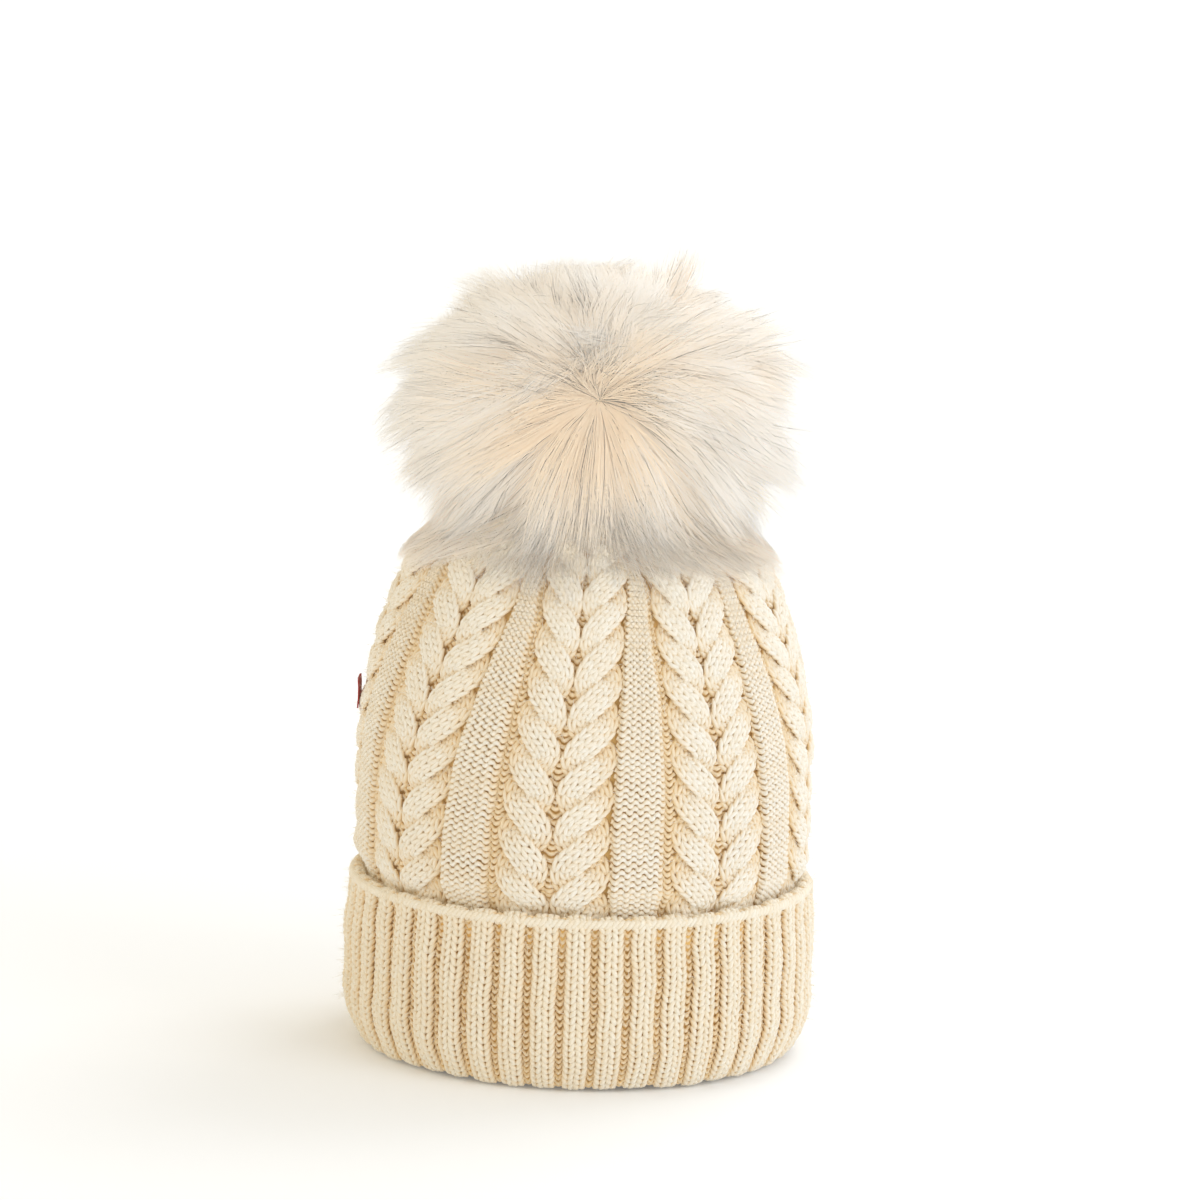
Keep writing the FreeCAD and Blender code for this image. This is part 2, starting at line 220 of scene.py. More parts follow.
def ribbons(paths, sides, widths):
    """Flat tapering hairs along many paths of equal point counts."""
    count, points, _ = paths.shape
    half = sides * (widths / 2)[..., None]
    vertices = np.stack([paths - half, paths + half], 2).reshape(-1, 3)
    faces = grid_faces(points, 2)[None] + (np.arange(count) * points * 2)[:, None, None]
    return vertices, faces.reshape(-1, 4)


def sheet_faces(rows, columns):
    """Faces of a closed sheet: a grid of points, the same grid behind it and the edge between them."""
    face = grid_faces(rows, columns)
    back = rows * columns
    edge = np.concatenate([
        np.arange(columns),
        np.arange(1, rows) * columns + columns - 1,
        np.arange(columns - 2, -1, -1) + (rows - 1) * columns,
        np.arange(rows - 2, 0, -1) * columns,
    ])
    following = np.roll(edge, -1)
    side = np.stack([following, edge, edge + back, following + back], 1)
    return np.concatenate([face, face[:, ::-1] + back, side])


def shell(outline, azimuths, alongs, proud, thickness):
    """A closed thick sheet over part of a turned outline. proud is a grid of (along, azimuth)."""
    angle, along = np.meshgrid(azimuths, alongs)
    outer, _ = outline.place(angle, along, proud)
    inner, _ = outline.place(angle, along, proud - thickness)
    vertices = np.concatenate([outer.reshape(-1, 3), inner.reshape(-1, 3)])
    return vertices, sheet_faces(*angle.shape)


NOISE_CELLS = 24


def lattice_noise(points, size, seed):
    """Smooth value noise from 0 to 1 at points in space, with features of the given size."""
    random = np.random.default_rng(seed)
    table = random.random((NOISE_CELLS, NOISE_CELLS, NOISE_CELLS))
    scaled = np.asarray(points) / size
    cell = np.floor(scaled).astype(int)
    part = scaled - cell
    part = part * part * (3 - 2 * part)
    total = 0
    for corner in np.ndindex(2, 2, 2):
        weight = np.prod(np.where(corner, part, 1 - part), axis=-1)
        index = (cell + np.array(corner)) % NOISE_CELLS
        total = total + weight * table[index[..., 0], index[..., 1], index[..., 2]]
    return total


# ---------------------------------------------------------------- materials

# Places of a colour Mix node's two colours among its inputs and of its colour among its outputs.
MIX_FIRST, MIX_SECOND, MIX_COLOUR = 6, 7, 2


class Shader:
    """A material's nodes, with short ways to add the ones used here."""

    def __init__(self, name, roughness, **settings):
        self.material = bpy.data.materials.new(name)
        self.material.use_nodes = True
        self.tree = self.material.node_tree
        self.surface = self.tree.nodes["Principled BSDF"]
        self.surface.inputs["Roughness"].default_value = roughness
        for socket, value in settings.items():
            self.surface.inputs[socket.replace("_", " ")].default_value = value
        self.place = None

    def node(self, kind, links=(), **settings):
        made = self.tree.nodes.new(kind)
        for key, value in settings.items():
            setattr(made, key, value)
        for socket, source in dict(links).items():
            if isinstance(source, bpy.types.NodeSocket):
                self.tree.links.new(source, made.inputs[socket])
            else:
                made.inputs[socket].default_value = source
        return made

    def coordinates(self, stretch=(1, 1, 1)):
        if self.place is None:
            self.place = self.node("ShaderNodeTexCoord").outputs["Object"]
        if stretch == (1, 1, 1):
            return self.place
        links = {"Vector": self.place, "Scale": stretch}
        return self.node("ShaderNodeMapping", links).outputs["Vector"]

    def noise(self, scale, detail=2.0, roughness=0.5, stretch=(1, 1, 1)):
        links = {
            "Vector": self.coordinates(stretch),
            "Scale": scale,
            "Detail": detail,
            "Roughness": roughness,
        }
        return self.node("ShaderNodeTexNoise", links).outputs["Fac"]

    def mark(self, name):
        return self.node("ShaderNodeAttribute", attribute_name=name).outputs["Fac"]

    def math(self, operation, first, second):
        return self.node("ShaderNodeMath", {0: first, 1: second}, operation=operation).outputs[0]

    def spread(self, value, low, high, bottom=0.0, top=1.0):
        links = {0: value, 1: low, 2: high, 3: bottom, 4: top}
        return self.node("ShaderNodeMapRange", links).outputs[0]

    def blend(self, share, first, second):
        """A colour between two colours, each a tuple or another node's output."""
        links = {"Factor": share}
        for socket, source in ((MIX_FIRST, first), (MIX_SECOND, second)):
            links[socket] = source if isinstance(source, bpy.types.NodeSocket) else (*source, 1)
        return self.node("ShaderNodeMix", links, data_type="RGBA").outputs[MIX_COLOUR]

    def colour(self, source):
        self.tree.links.new(source, self.surface.inputs["Base Color"])

    def rough(self, source):
        self.tree.links.new(source, self.surface.inputs["Roughness"])

    def bump(self, height, distance, strength=1.0):
        links = {"Height": height, "Distance": distance, "Strength": strength}
        made = self.node("ShaderNodeBump", links)
        self.tree.links.new(made.outputs["Normal"], self.surface.inputs["Normal"])


def wool(name, light, painted_shade_colour):
    """Soft yarn with heather and loose fibres: paler where it stands proud, with tan painted shade in the
    hollows and a painted glow.
    """
    # Painted glow: a weak warm emission over all the yarn.
    shader = Shader(
        name, 0.92, Sheen_Weight=0.25, Sheen_Roughness=0.6, Specular_IOR_Level=0.2,
        Emission_Color=YARN_PAINTED_GLOW, Emission_Strength=0.05,
    )
    heather = shader.noise(420, 3)
    # Painted shade: the hollows mark blends the yarn toward its shade colour.
    painted_shade_share = shader.spread(shader.mark("recess"), 0.26, 0.98)
    painted_shade_share = shader.math("ADD", painted_shade_share, shader.spread(heather, 0.3, 0.7, -0.06, 0.06))
    tint = shader.blend(painted_shade_share, light, painted_shade_colour)
    # The tone mark varies at random from stitch to stitch; on the sheets under the knitting it is raised,
    # painting them in the shade colour.
    lot_and_sheet_shade = shader.spread(shader.mark("tone"), 0, 1, 0.0, 0.16)
    shader.colour(shader.blend(lot_and_sheet_shade, tint, painted_shade_colour))
    fibres = shader.noise(2600, 4, 0.65, (1, 1, 0.45))
    plies = shader.noise(900, 1)
    shader.bump(shader.math("ADD", fibres, plies), 0.00022, 0.55)
    return shader.material


def fleece():
    """Brushed fleece: a matt nap in small tufts."""
    shader = Shader("fleece", 0.95, Sheen_Weight=0.3, Sheen_Roughness=0.5, Specular_IOR_Level=0.15)
    nap = shader.noise(520, 5, 0.7)
    shader.colour(shader.blend(shader.spread(nap, 0.35, 0.65), FLEECE_SHADE, FLEECE_WHITE))
    shader.bump(nap, 0.0009, 0.8)
    return shader.material


def fur():
    """Hair that goes from white through tan patches to a few brown tips, hair by hair, with tan also used as
    painted shade and a painted glow over it.
    """
    # Painted glow: a warm emission over all the hair.
    shader = Shader(
        "fur", 0.55, Sheen_Weight=0.3, Specular_IOR_Level=0.35,
        Emission_Color=FUR_PAINTED_GLOW, Emission_Strength=0.22,
    )
    streak = shader.noise(260, 2)
    tan = shader.math("ADD", shader.mark("tan"), shader.spread(streak, 0.35, 0.65, -0.08, 0.08))
    warm = shader.blend(tan, FUR_WHITE, FUR_TAN)
    shader.colour(shader.blend(shader.mark("brown"), warm, FUR_BROWN))
    return shader.material


def felt():
    shader = Shader("felt", 0.97, Sheen_Weight=0.2, Specular_IOR_Level=0.15)
    matted = shader.noise(900, 5, 0.7)
    shader.colour(shader.blend(matted, (0.45, 0.38, 0.29), (0.70, 0.62, 0.50)))
    shader.bump(matted, 0.0004, 0.8)
    return shader.material


def brass():
    shader = Shader("snap_metal", 0.3, Metallic=1.0)
    wear = shader.noise(350, 4)
    shader.colour(shader.blend(wear, (0.62, 0.44, 0.20), (0.80, 0.62, 0.34)))
    shader.rough(shader.spread(wear, 0.3, 0.7, 0.22, 0.42))
    shader.bump(shader.noise(1800, 2), 0.00004, 0.4)
    return shader.material


def steel():
    shader = Shader("spring_steel", 0.28, Metallic=1.0)
    drawn = shader.noise(1200, 3)
    shader.colour(shader.blend(drawn, (0.42, 0.42, 0.43), (0.62, 0.62, 0.63)))
    shader.rough(shader.spread(drawn, 0.3, 0.7, 0.2, 0.38))
    return shader.material


def moulded():
    shader = Shader("base_disc", 0.5, Specular_IOR_Level=0.45)
    cloud = shader.noise(120, 3)
    shader.colour(shader.blend(cloud, (0.72, 0.70, 0.64), (0.80, 0.78, 0.73)))
    shader.rough(shader.spread(cloud, 0.3, 0.7, 0.42, 0.6))
    shader.bump(shader.noise(2200, 2), 0.00005, 0.5)
    return shader.material


# A Wave node's scale times the width of one of its bands.
WAVE_BAND = 0.314


def woven(name, warp, weft, pitch, roughness=0.7):
    """Plain weave of a pitch in metres."""
    shader = Shader(name, roughness, Sheen_Weight=0.15, Specular_IOR_Level=0.3)
    place = shader.coordinates()
    bands = []
    for direction in ("X", "Z"):
        links = {"Vector": place, "Scale": WAVE_BAND / pitch, "Distortion": 0.4}
        wave = shader.node("ShaderNodeTexWave", links, bands_direction=direction)
        bands.append(wave.outputs["Fac"])
    cross = shader.math("MULTIPLY", bands[0], bands[1])
    shader.colour(shader.blend(cross, weft, warp))
    shader.bump(cross, 0.0002, 0.7)
    return shader.material


MATERIALS = {
    "knit": wool("knit", CREAM, CREAM_PAINTED_SHADE),
    "knit_rib": wool("knit_rib", RIB_CREAM, RIB_PAINTED_SHADE),
    "yarn": wool("yarn", CREAM, CREAM_PAINTED_SHADE),
    "thread": woven("thread", (0.85, 0.80, 0.70), (0.62, 0.55, 0.44), 0.0004),
    "fleece": fleece(),
    "fur": fur(),
    "felt": felt(),
    "snap_metal": brass(),
    "spring_steel": steel(),
    "base_disc": moulded(),
    "backing": woven("backing", (0.80, 0.76, 0.68), (0.60, 0.54, 0.44), 0.0009),
    "side_label": woven("side_label", (0.52, 0.05, 0.04), (0.34, 0.02, 0.02), 0.0006),
    "care_label": woven("care_label", (0.90, 0.89, 0.86), (0.72, 0.71, 0.68), 0.0004, 0.45),
}


def finish_piece(piece, slot, body, *stands_for):
    """Rides a piece on a body and hides the CAD nodes that it stands for."""
    if stands_for:
        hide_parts(*stands_for)
    if body:
        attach(piece, body)
    return piece


# ---------------------------------------------------------------- knitting

# How much painted shade a yarn gets from its place deep in the fabric and on the far side of the yarn itself,
# as hollows.
SUNK_PAINTED_SHADE = 0.75
UNDERSIDE_PAINTED_SHADE = 0.42
# Sizes of the waves in the knitting, how far they move it and how far it lies back for them.
WOBBLES = ((10.0, 1.0, 60), (2.4, 0.45, 70))
WOBBLE_ROOM = 0.1
# Moves points clear of the noise's zero, where its cells would mirror.
NOISE_AWAY = 300
FUZZ_SHARE = 0.8
FUZZ_LENGTHS = (1.2, 3.6)
FUZZ_WIDTHS = 0.15 * np.array([1.0, 0.9, 0.7, 0.3])
FUZZ_CURL = 0.6
# Fibres are left off faces that point further down than this, where the hat stands.
FUZZ_LOWEST = -0.3
PURL_STEPS = 8
LEG_STEPS = np.array([0.0, 0.22, 0.5, 0.78, 1.0])
LEG_SHAPE = np.array([0.5, 0.95, 1.0, 0.88, 0.5])


class Fabric:
    """Knitting laid over an outline. Sideways distances are turned into angles by spread."""

    def __init__(self, outline, spread, top, rounding, relief=None, pinch=None):
        self.outline, self.spread, self.top, self.rounding = outline, spread, top, rounding
        self.relief, self.pinch = relief, pinch

    def place(self, turn, across, along, height):
        """height is measured from the foot of the knitting; its highest yarn reaches the CAD face."""
        azimuth = turn + self.spread(across, along)
        if self.pinch:
            azimuth = azimuth - self.pinch(along) * np.sin(azimuth - PINCH_MIDDLE)
        proud = height - self.top
        if self.relief:
            proud = proud * self.relief(along)
        points, outward = self.outline.place(azimuth, along, proud)
        return points + hand_wobble(points), outward

    def yarn(self, gather, turn, across, along, height, thick, tone, sides=6):
        """Adds yarns along paths given as (yarn, point) arrays, and returns where they run."""
        points, outward = self.place(turn, across, along, height)
        vertices, faces, lift = tubes(points, outward, thick, sides)
        # Painted shade: yarns lower in the fabric and the far side of each yarn are given more of the shade
        # colour.
        level = np.repeat((height / self.top).reshape(-1), sides)
        side = 1 - lift / np.repeat(thick.reshape(-1), sides)
        painted_shade_share = np.clip(SUNK_PAINTED_SHADE * (1 - level) + UNDERSIDE_PAINTED_SHADE * side, 0, 1)
        tones = np.broadcast_to(tone[:, None, None], (*height.shape, sides)).reshape(-1)
        gather.add(vertices, faces, recess=painted_shade_share, tone=tones)
        return points, outward


def hand_wobble(points):
    """The unevenness of real knitting: wide gentle waves and a small shift of each stitch."""
    shift = []
    for axis in range(3):
        waves = [
            reach * (lattice_noise(points + NOISE_AWAY, size, seed + axis) - 0.5)
            for size, reach, seed in WOBBLES
        ]
        shift.append(sum(waves))
    return np.stack(shift, -1) - WOBBLE_ROOM * unit(points * np.array([1, 1, 0]))


def fuzz(gather, starts, outward, random, radius):
    """Loose fibres that stand off the yarn."""
    chosen = (random.random(len(starts)) < FUZZ_SHARE) & (outward[:, 2] > FUZZ_LOWEST)
    starts, outward = starts[chosen], outward[chosen]
    count = len(starts)
    if count == 0:
        return
    t = np.linspace(0, 1, len(FUZZ_WIDTHS))[None, :, None]
    length = random.uniform(*FUZZ_LENGTHS, count)[:, None, None]
    heading = unit(outward * 0.35 + random.normal(0, 0.7, (count, 3)))[:, None]
    curl = unit(random.normal(0, 1, (count, 3)))[:, None] * FUZZ_CURL
    paths = starts[:, None] + outward[:, None] * radius * 0.8 + (heading * t + curl * t * t) * length
    side = unit(np.cross(heading + curl * t, outward[:, None] + 0 * t))
    widths = FUZZ_WIDTHS[None] + np.zeros((count, len(FUZZ_WIDTHS)))
    vertices, faces = ribbons(paths, side, widths)
    gather.add(vertices, faces, recess=np.full(len(vertices), 0.1), tone=np.zeros(len(vertices)))


def v_stitches(fabric, gather, turn, mirror, path, columns, column_width, rows, pitch, thick, random):
    """Knit stitches in columns beside each other along a path: two leaning legs for each stitch."""
    for column in columns:
        for leg in (-1, 1):
            tuck = LEG_STEPS[None, :]
            along = rows[:, None] + (1.4 * tuck - 0.1) * pitch
            centre, height, slope = path(along)
            offset = (column + leg * (0.07 + 0.37 * tuck)) * column_width
            length = np.sqrt(1 + slope * slope)
            across = centre + offset / length
            level = along - offset * slope / length
            bulge = 0.8 * np.sin(math.pi * (0.06 + 0.86 * tuck))
            crown = fabric.rounding * (offset / column_width) ** 2
            tone = random.random(len(rows))
            size = thick * (0.96 + 0.08 * tone)[:, None] * LEG_SHAPE[None, :]
            points, outward = fabric.yarn(
                gather, turn, across * mirror, level, height + bulge - crown, size, tone
            )
            for place in (1, 3):
                fuzz(gather, points[:, place], outward[:, place], random, thick)


def purl_rows(fabric, gather, turn, centre, columns, column_width, rows, pitch, thick, height, random):
    """Rows of purl bumps: a wavy yarn over each row whose ends dive under the neighbours."""
    points = columns * PURL_STEPS + 1
    step = np.linspace(-columns / 2, columns / 2, points)[None]
    wave = np.cos(TURN * step + math.pi * columns)
    arch = np.abs(wave)
    across = centre + step * column_width + 0 * rows[:, None]
    along = rows[:, None] + np.sign(wave) * arch ** 0.8 * pitch * 0.34 + 0 * step
    edge = np.abs(step) / (columns / 2)
    level = height(step / columns, rows[:, None]) + 0.5 * arch - 1.2 * smooth(edge, 0.8, 1.0)
    tone = random.random(len(rows))
    size = thick * (0.95 + 0.1 * tone)[:, None] * (0.74 + 0.3 * arch)
    points, outward = fabric.yarn(gather, turn, across, along, level, size, tone)
    for column in range(columns):
        place = column * PURL_STEPS + PURL_STEPS // 2
        fuzz(gather, points[:, place], outward[:, place], random, thick)


# ---------------------------------------------------------------- crown

CROWN_OUTLINE = Outline(
    [(77.6, 50), (77.6, 60), (81.2, 68), (81.2, 108)],
    bow((81.2, 108), (64, 175), 165),
    bow((64, 175), (30.3, 192.5), 48),
    [(4, 192.5)],
)
REPEATS = 8
REPEAT_WIDTH = 64.0
GAP_WIDTH = 1.2
CABLE_WIDTH = 21.4
PANEL_WIDTH = 20.0
PANEL_MIDDLE = 31.2
PANEL_COLUMN = 4.1
GROOVE_MIDDLE = 42.6
FIRST_PAIR = math.radians(-7.6)
PINCH_MIDDLE = math.radians(14)
ROW = 2.24
CABLE_ROWS = 6
STRAND_SWINGS = {-1: 4.7, 1: 5.5}
STRAND_MIDDLE = 10.6
STRAND_RISE = 1.35
STRAND_LEVEL = 1.75
STRAND_COLUMN = 3.4
STRAND_LEAD = 0.4
STRAND_HIDDEN = -0.8
STRAND_YARN = 0.94
GAP_COLUMN = 6.4
GROOVE_COLUMN = 4.4
GAP_YARN = 0.9
PANEL_YARN = 0.98
CROWN_TOP = 4.3
GROUND_LEVEL = -4.25
GROUND_THICKNESS = 0.3
GROUND_START = 0.32
HAT_END = 128.0
FLEX_RADIUS = 29.5
CENTRE_RADIUS = 20.9


def crown_share(along):
    """Width of a repeat at a level, as a share of its full width."""
    radius = CROWN_OUTLINE.at(along)[0]
    return radius * (TURN / REPEATS) / REPEAT_WIDTH


def panel_share(along):
    """Width of the purl panels at a level. They close into pleats towards the top."""
    return np.clip(1 - 2.7 * (1 - crown_share(along)), 0.12, 1.1)


def crown_spread(across, along):
    """Angle from the middle of a cable pair to a place across the repeat."""
    share, panel = crown_share(along), panel_share(along)
    panel = np.minimum(panel, share)
    cable = (REPEAT_WIDTH * share - (PANEL_WIDTH + GAP_WIDTH) * panel) / (2 * CABLE_WIDTH)
    half_gap = GAP_WIDTH / 2
    beside = np.abs(across)
    width = np.minimum(beside, half_gap) * panel
    width = width + np.clip(beside - half_gap, 0, CABLE_WIDTH) * cable
    width = width + np.maximum(beside - half_gap - CABLE_WIDTH, 0) * panel
    return np.sign(across) * width / (REPEAT_WIDTH * share) * (TURN / REPEATS)


def crown_pinch(along):
    """The crown is drawn together a little right of its front as it rises."""
    return 0.30 * smooth(along, 20, 135) ** 1.2


crown_fabric = Fabric(CROWN_OUTLINE, crown_spread, CROWN_TOP, 0.32, pinch=crown_pinch)


def strand_path(phase, swing_width):
    """A cable strand that swings from the gap out to the cable's far side and back, over and under."""
    length = CABLE_ROWS * ROW

    def path(along):
        swing = math.pi * along / length + phase
        across = STRAND_MIDDLE - swing_width * np.cos(swing)
        height = STRAND_LEVEL + STRAND_RISE * np.sin(swing + STRAND_LEAD) + 1.1 * pleat(along)
        slope = swing_width * math.pi / length * np.sin(swing)
        return across, height, slope

    return path


def pleat(along):
    """How far the panels have closed, from 0 to 1."""
    return 1 - np.clip(panel_share(along), 0, 1)


def panel_height(share, along):
    """The purl panels bulge a little and drop to a groove on their right."""
    return 2.75 - 2.1 * smooth(share, 0.30, 0.5) - 0.6 * smooth(-share, 0.35, 0.5) - 1.6 * pleat(along)


def gap_height(share, along):
    return 0.8 + 0 * share - 0.4 * pleat(along)


def crown_sector(number, first, last, random):
    """Stitches of one repeat between two distances along the outline."""
    gather = Gather()
    turn = FIRST_PAIR + number * TURN / REPEATS
    rows = np.arange(math.ceil(first / ROW), math.ceil(last / ROW)) * ROW
    for mirror in (-1, 1):
        for phase in (0.0, math.pi):
            path = strand_path(phase, STRAND_SWINGS[mirror])
            front = np.sin(math.pi * rows / (CABLE_ROWS * ROW) + phase + STRAND_LEAD) > STRAND_HIDDEN
            v_stitches(
                crown_fabric, gather, turn, mirror, path, (-1, 0, 1), STRAND_COLUMN,
                rows[front], ROW, STRAND_YARN, random,
            )
    for across, width in ((0.0, GAP_COLUMN), (GROOVE_MIDDLE, GROOVE_COLUMN)):
        purl_rows(
            crown_fabric, gather, turn, across, 1, width, rows, ROW, GAP_YARN, gap_height, random
        )
    purl_rows(
        crown_fabric, gather, turn, PANEL_MIDDLE, 5, PANEL_COLUMN, rows, ROW, PANEL_YARN,
        panel_height, random,
    )
    return gather


def crown_ground(gather, number, first, last):
    """The dense loops behind the stitches, as a thick sheet under them, coloured wholly as painted shade so
    the gaps between stitches read dark.
    """
    turn = FIRST_PAIR + (number - GROUND_START) * TURN / REPEATS
    azimuths = turn + np.linspace(0, TURN / REPEATS, 25)
    alongs = np.linspace(first, last, max(4, int((last - first) / 4)))
    proud = np.full((len(alongs), len(azimuths)), GROUND_LEVEL)
    vertices, faces = shell(CROWN_OUTLINE, azimuths, alongs, proud, GROUND_THICKNESS)
    gather.add(vertices, faces, recess=np.ones(len(vertices)), tone=np.ones(len(vertices)))


def build_crown():
    """Eight repeats of the pattern on the hat, and the same knitting in the two rings at the top."""
    flex_start, flex_end = [
        np.interp(-radius, -CROWN_OUTLINE.points[:, 0], CROWN_OUTLINE.steps)
        for radius in (FLEX_RADIUS, CENTRE_RADIUS)
    ]
    top = CROWN_OUTLINE.length
    for number in range(REPEATS):
        random = np.random.default_rng(100 + number)
        body = crown_sector(number, 0.0, HAT_END, random)
        crown_ground(body, number, 0.0, HAT_END)
        piece = body.piece(f"crown_cables_{number + 1}", MATERIALS["knit"])
        finish_piece(piece, "knit", "hat", "knit_crown")
        azimuth = FIRST_PAIR + (number - GROUND_START + 0.5) * TURN / REPEATS
        for label, start, end, bodies, node in (
            ("crown_shoulder", HAT_END, flex_start, ("hat", "crown_flex"), "knit_crown"),
            ("crown_ring", flex_start, flex_end, ("crown_flex", "snap_seat"), "crown_flex_ring"),
        ):
            part = crown_sector(number, start, end, random)
            crown_ground(part, number, start, end)
            piece = part.piece(f"{label}_{number + 1}", MATERIALS["knit"])
            finish_piece(piece, "knit", None, node)
            ends, _ = CROWN_OUTLINE.place(
                np.array([azimuth, azimuth]), np.array([start, end]), np.zeros(2)
            )
            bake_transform(piece)
    middle = Gather()
    random = np.random.default_rng(150)
    for number in range(REPEATS):
        turn = FIRST_PAIR + number * TURN / REPEATS
        rows = np.arange(math.ceil(flex_end / ROW), math.floor(top / ROW)) * ROW
        purl_rows(
            crown_fabric, middle, turn, 16.0, 3, REPEAT_WIDTH / 3, rows, ROW, GAP_YARN,
            gap_height, random,
        )
        crown_ground(middle, number, flex_end, top)
    piece = middle.piece("crown_centre_knit", MATERIALS["knit"])
    finish_piece(piece, "knit", "snap_seat", "crown_centre")


# ---------------------------------------------------------------- cuff

CUFF_OUTLINE = Outline(
    [(72.2, 6.3), (72.2, 2.0)],
    bow((72.2, 2.0), (74.2, 0.0), 2.0, 8),
    [(76.8, 0.0)],
    bow((76.8, 0.0), (83.9, 24.0), 28),
    bow((83.9, 24.0), (82.4, 59.2), 180),
    bow((82.4, 59.2), (80.3, 61.3), 2.1, 8),
    bow((80.3, 61.3), (78.2, 59.2), 2.1, 8),
    [(78.2, 48)],
)
RIBS = 45
RIB_WIDTH = 11.7
RIB_COLUMN = 4.35
CUFF_ROW = 2.42
CUFF_TOP = 3.75
# Distance along the outline at which the knitting turns over at the rim.
CUFF_RIM = CUFF_OUTLINE.length - 17.8
RIB_YARN = 1.02
RIB_LEVEL = 2.35
VALLEY_WIDTH = 3.6
VALLEY_YARN = 0.8
VALLEY_LEVEL = 0.8
EDGE_LOOPS = 6
EDGE_YARN = 1.05
CUFF_PARTS = 5


def cuff_spread(across, along):
    return across / RIB_WIDTH * (TURN / RIBS) + 0 * along


def cuff_relief(along):
    """The knitting is pressed thin where it turns under and along the rim."""
    return 0.42 + 0.58 * smooth(along, 8, 20) * (1 - 0.9 * smooth(along, CUFF_RIM - 5.5, CUFF_RIM))


cuff_fabric = Fabric(CUFF_OUTLINE, cuff_spread, CUFF_TOP, 1.15, relief=cuff_relief)


def rib_path(along):
    return 0 * along, RIB_LEVEL + 0 * along, 0 * along


def valley_height(share, along):
    return VALLEY_LEVEL + 0 * share * along


def cast_on_edge(gather, first, last, random):
    """The edge of the cuff: a chain of leaning loops along the rim."""
    loops = np.arange(first * EDGE_LOOPS, last * EDGE_LOOPS)
    lean = np.array([-0.25, 0.0, 0.35, 0.75, 1.0]) * 1.35
    turn = (loops[:, None] + lean[None]) * TURN / RIBS / EDGE_LOOPS
    over = np.array([-1.7, -0.9, 0.2, 1.2, 1.9])
    along = CUFF_RIM + over[None] + 0 * turn
    proud = np.array([-1.1, -0.7, -0.45, -0.65, -1.1])[None] + 0 * turn
    points, outward = CUFF_OUTLINE.place(turn, along, proud)
    tone = random.random(len(loops))
    thick = EDGE_YARN * (0.95 + 0.1 * tone)[:, None] * LEG_SHAPE[None]
    vertices, faces, lift = tubes(points, outward, thick)
    tones = np.repeat(tone, len(lift) // len(loops))
    # Painted shade: the loops are darker on their undersides.
    gather.add(vertices, faces, recess=0.3 - 0.2 * lift, tone=tones)


def build_cuff():
    """Forty-five ribs of two knit columns with a sunk purl column between them, in five lengths."""
    ribs_each = RIBS // CUFF_PARTS
    rows = np.arange(1, int((CUFF_OUTLINE.length - 8) / CUFF_ROW)) * CUFF_ROW
    for part in range(CUFF_PARTS):
        random = np.random.default_rng(200 + part)
        gather = Gather()
        for rib in range(part * ribs_each, (part + 1) * ribs_each):
            turn = rib * TURN / RIBS
            v_stitches(
                cuff_fabric, gather, turn, 1, rib_path, (-0.5, 0.5), RIB_COLUMN,
                rows, CUFF_ROW, RIB_YARN, random,
            )
            purl_rows(
                cuff_fabric, gather, turn, RIB_WIDTH / 2, 1, VALLEY_WIDTH, rows, CUFF_ROW,
                VALLEY_YARN, valley_height, random,
            )
        cast_on_edge(gather, part * ribs_each, (part + 1) * ribs_each, random)
        azimuths = np.linspace(part, part + 1, 37) * TURN / CUFF_PARTS + TURN / RIBS / 2
        alongs = np.linspace(0, CUFF_OUTLINE.length - 1, 70)
        proud = np.repeat(-3.6 * cuff_relief(alongs)[:, None], len(azimuths), 1)
        vertices, faces = shell(CUFF_OUTLINE, azimuths, alongs, proud, 0.4)
        # The sheet under the ribs is coloured as painted shade, so the gaps between the ribs read dark.
        gather.add(vertices, faces, recess=np.ones(len(vertices)), tone=np.full(len(vertices), 0.5))
        piece = gather.piece(f"cuff_ribs_{part + 1}", MATERIALS["knit_rib"])
        finish_piece(piece, "knit_rib", "hat", "ribbed_cuff")


# ---------------------------------------------------------------- lining and labels

LINING_OUTLINE = Outline(
    [(72.3, 9), (72.3, 60), (75.9, 68), (75.9, 108)],
    bow((75.9, 108), (59.8, 171.8), 160),
    bow((59.8, 171.8), (0.8, 179.0), 105),
)
# Inside of the knit, where the back seam lies.
SEAM_OUTLINE = Outline(
    [(72.75, 9), (72.75, 60), (76.35, 68), (76.35, 108)],
    bow((76.35, 108), (60.3, 171.9), 160),
)


GORES = 4
GORE_GAP = math.radians(0.45)
FLEECE_THICKNESS = 1.0
SEAM_STITCH = 2.6
SEAM_REACH = 1.1 / 74
HEM_STITCHES = 150
HEM_RADIUS = 72.0
HEM_LEVEL = 8.5
SEAM_THREAD, HEM_THREAD, SEAM_YARN = 0.2, 0.3, 0.17
TAB_LEVEL = 123.0
TAG_LEVEL = 96.0


